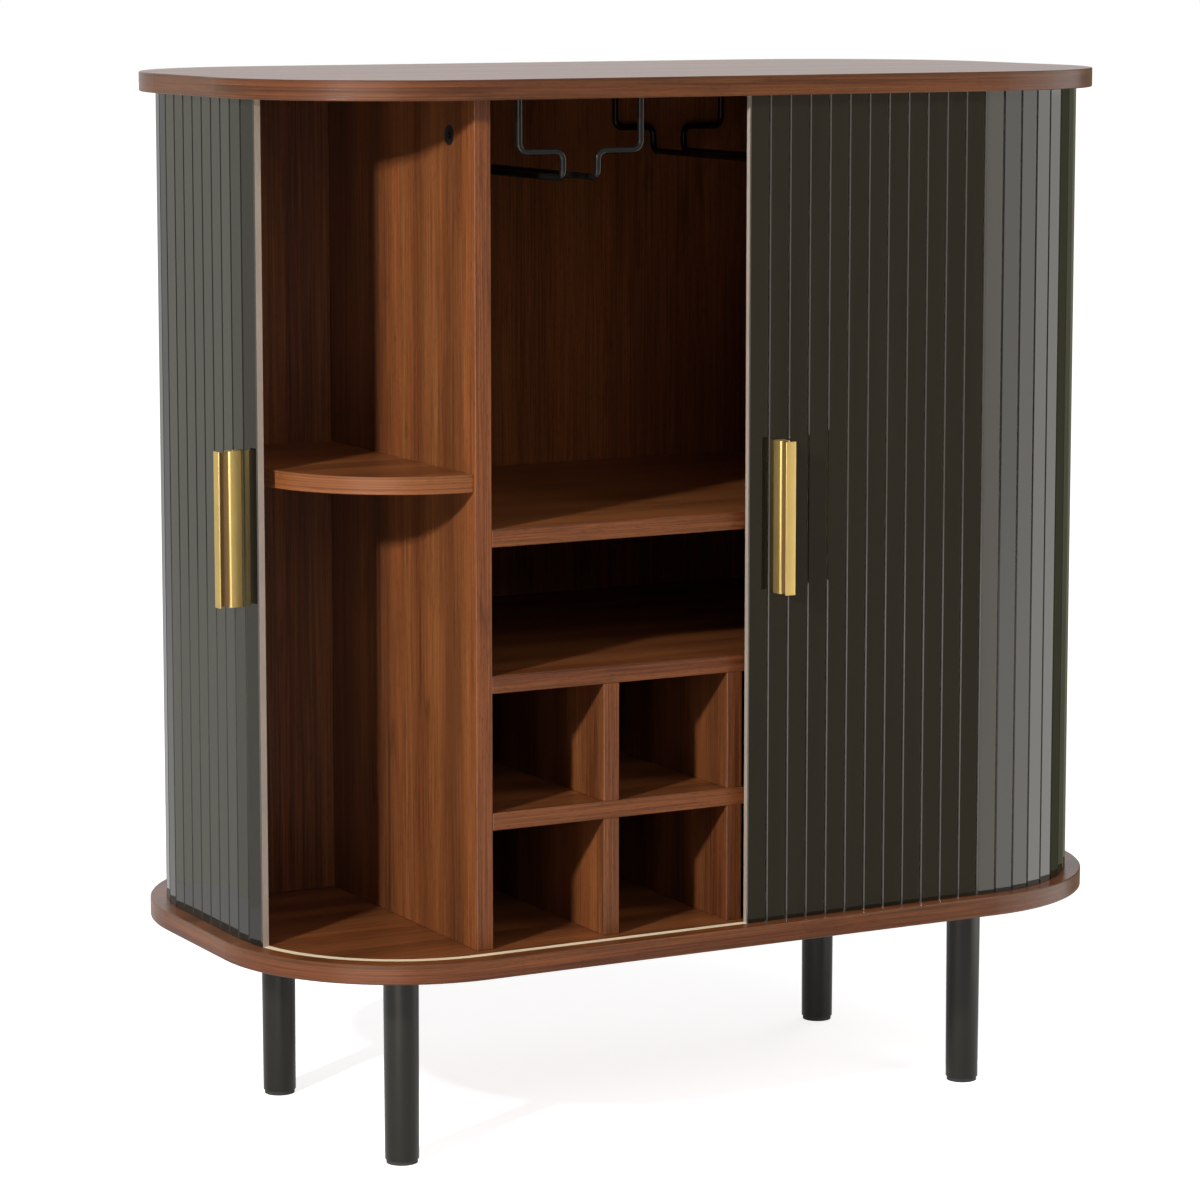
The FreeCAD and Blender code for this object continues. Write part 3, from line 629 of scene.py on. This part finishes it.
pattern_handle = model_handle()
handle_low, handle_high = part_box("handle_right")
handle_lift = Matrix.Translation((0, 0, (handle_low[2] + handle_high[2]) / 2 - SLAT_FOOT))
for door, side in (("left", -1), ("right", 1)):
    bar = copy_at(pattern_handle, f"handle_bar_{door}", slat_place(1, side) @ handle_lift)
    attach(bar, f"{door}_slats_01_to_02")
    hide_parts(f"handle_{door}")
    finish_node(f"handle_screws_{door}", ZINC)
bpy.data.objects.remove(pattern_handle)


# ---- The floor, the light and the camera ----
# A white floor runs out to a white surrounding, as in a studio. A hard key light from the front
# left throws the shadows in the bays and soft lamps fill in. Soft boxes and cards round the
# cabinet show only in its polished faces.

FLOOR_WHITE, FLOOR_ROUGH, FLOOR_SHINE = (0.86, 0.86, 0.86, 1), 0.9, 0.1
# What the floor adds for the camera: a little less near the cabinet, where the shadow lies
FLOOR_FADE = {"From Min": 0.8, "From Max": 2.6, "To Min": 0.82, "To Max": 1.0}
MIRRORED_FLOOR, AMBIENT = 0.40, 0.12

bpy.ops.object.select_all(action="DESELECT")
bpy.ops.mesh.primitive_plane_add(size=60, location=(0, 0, 0))
floor = bpy.context.object
floor.name = "studio_floor"
material, tree, shader = new_material("floor_white")
set_inputs(shader, {"Base Color": FLOOR_WHITE, "Roughness": FLOOR_ROUGH,
                    "Specular IOR Level": FLOOR_SHINE, "Emission Color": (1, 1, 1, 1)})
path = tree.nodes.new("ShaderNodeLightPath")
floor_place = tree.nodes.new("ShaderNodeTexCoord").outputs["Object"]
outwards = tree.nodes.new("ShaderNodeMapRange")
set_inputs(outwards, FLOOR_FADE)
link(tree, vector_node(tree, "LENGTH", floor_place).outputs["Value"], outwards.inputs["Value"])
seen = value_node(tree, "MULTIPLY", path.outputs["Is Camera Ray"], outwards.outputs["Result"])
mirrored = value_node(tree, "MULTIPLY", path.outputs["Is Glossy Ray"], MIRRORED_FLOOR)
link(tree, value_node(tree, "ADD", seen, mirrored), shader.inputs["Emission Strength"])
floor.data.materials.append(material)

world = bpy.data.worlds.new("studio")
bpy.context.scene.world = world
world.use_nodes = True
tree = world.node_tree
sky = tree.nodes["Background"]
sky.inputs["Color"].default_value = (1, 1, 1, 1)
path = tree.nodes.new("ShaderNodeLightPath")
seen = value_node(tree, "MAXIMUM", path.outputs["Is Camera Ray"], path.outputs["Is Glossy Ray"])
seen = value_node(tree, "MAXIMUM", seen, path.outputs["Is Transmission Ray"])
strength = value_node(tree, "MULTIPLY", seen, 1 - AMBIENT)
link(tree, value_node(tree, "ADD", strength, AMBIENT), sky.inputs["Strength"])


def lamp(name, place, target, width, height, power, colour=(1, 1, 1)):
    """A rectangular lamp at a place, turned to its target."""
    light = bpy.data.lights.new(name, "AREA")
    light.shape = "RECTANGLE"
    light.size = width
    light.size_y = height
    light.energy = power
    light.color = colour
    holder = bpy.data.objects.new(name, light)
    bpy.context.collection.objects.link(holder)
    holder.location = place
    holder.rotation_euler = (Vector(target) - holder.location).to_track_quat("-Z", "Y").to_euler()
    holder.visible_camera = False
    return holder


KEY_SIDE, SOFT_SIDE, BOX_TALL, CARD_TALL, CARD_LIFT = 0.22, 1.6, 1.3, 1.4, 0.002
WARM_WHITE = (1.0, 0.955, 0.89)


def span(start, end):
    """The middle of the line between two points of the floor, and the way along it."""
    start, end = Vector((*start, 0)), Vector((*end, 0))
    return (start + end) / 2, end - start


def strip_box(name, start, end, brightness, colour=WARM_WHITE):
    """A soft box that stands from one floor point to another, seen only in the polished faces."""
    middle, along = span(start, end)
    middle.z = BOX_TALL / 2
    target = middle + Vector((-along.y, along.x, 0))
    power = math.pi * brightness * along.length * BOX_TALL
    lamp(name, middle, target, along.length, BOX_TALL, power, colour).visible_diffuse = False


def studio_card(name, start, end, colour):
    """A card that stands from one floor point to another, seen only in the polished faces."""
    middle, along = span(start, end)
    middle.z = CARD_TALL / 2 + CARD_LIFT
    bpy.ops.object.select_all(action="DESELECT")
    bpy.ops.mesh.primitive_plane_add(size=1, location=middle,
                                     rotation=(math.pi / 2, 0, math.atan2(along.y, along.x)))
    card = settle(bpy.context.object, (along.length, CARD_TALL, 1))
    card.name = name
    material, tree, shader = new_material(name)
    set_inputs(shader, {"Base Color": (0, 0, 0, 1), "Specular IOR Level": 0,
                        "Emission Color": (*colour, 1), "Emission Strength": 1})
    card.data.materials.append(material)
    card.visible_camera = False
    card.visible_diffuse = False
    card.visible_shadow = False


lamp("key", (-3.243, -1.798, 2.05), (0, 0, 0.55), KEY_SIDE, KEY_SIDE, 154, (1.0, 0.985, 0.96))
lamp("right_fill", (3.0, 1.5, 2.2), (0, 0, 0.55), SOFT_SIDE, SOFT_SIDE, 12)
for name, place, power in (("shelf_fill", (1.6, -3.3, 2.9), 30),
                           ("front_fill", (-1.1, -3.75, 2.2), 19)):
    fill = lamp(name, place, (0, 0, 0.6), SOFT_SIDE, SOFT_SIDE, power)
    fill.visible_glossy = False
strip_box("corner_box", (0.604, -0.7475), (0.93, -0.30), 2.8)
strip_box("corner_box_end", (0.93, -0.30), (0.985, -0.11), 1.7)
strip_box("groove_box", (-0.78, -0.40), (-0.58, -0.70), 2.9, (1.0, 0.88, 0.76))
studio_card("card_brown", (0.363, -0.948), (0.768, -0.861), (0.72, 0.60, 0.42))
studio_card("card_left", (-1.45, 0.35), (-0.75, 1.15), (0.94, 0.92, 0.79))
studio_card("card_olive", (0.985, -0.09), (1.02, 0.62), (0.22, 0.22, 0.14))

CAMERA_DROP, CAMERA_TURN = math.radians(7.722), math.radians(28.35)
camera = bpy.data.objects.new("camera", bpy.data.cameras.new("camera"))
bpy.context.collection.objects.link(camera)
camera.location = (-1.9437, -3.5559, 1.0995)
camera.rotation_euler = (math.pi / 2 - CAMERA_DROP, 0, -CAMERA_TURN)
camera.data.lens = 127.68
camera.data.sensor_width = 36
camera.data.shift_y = -0.06
camera.data.clip_end = 200
bpy.context.scene.camera = camera
bpy.context.scene.view_settings.view_transform = "Standard"
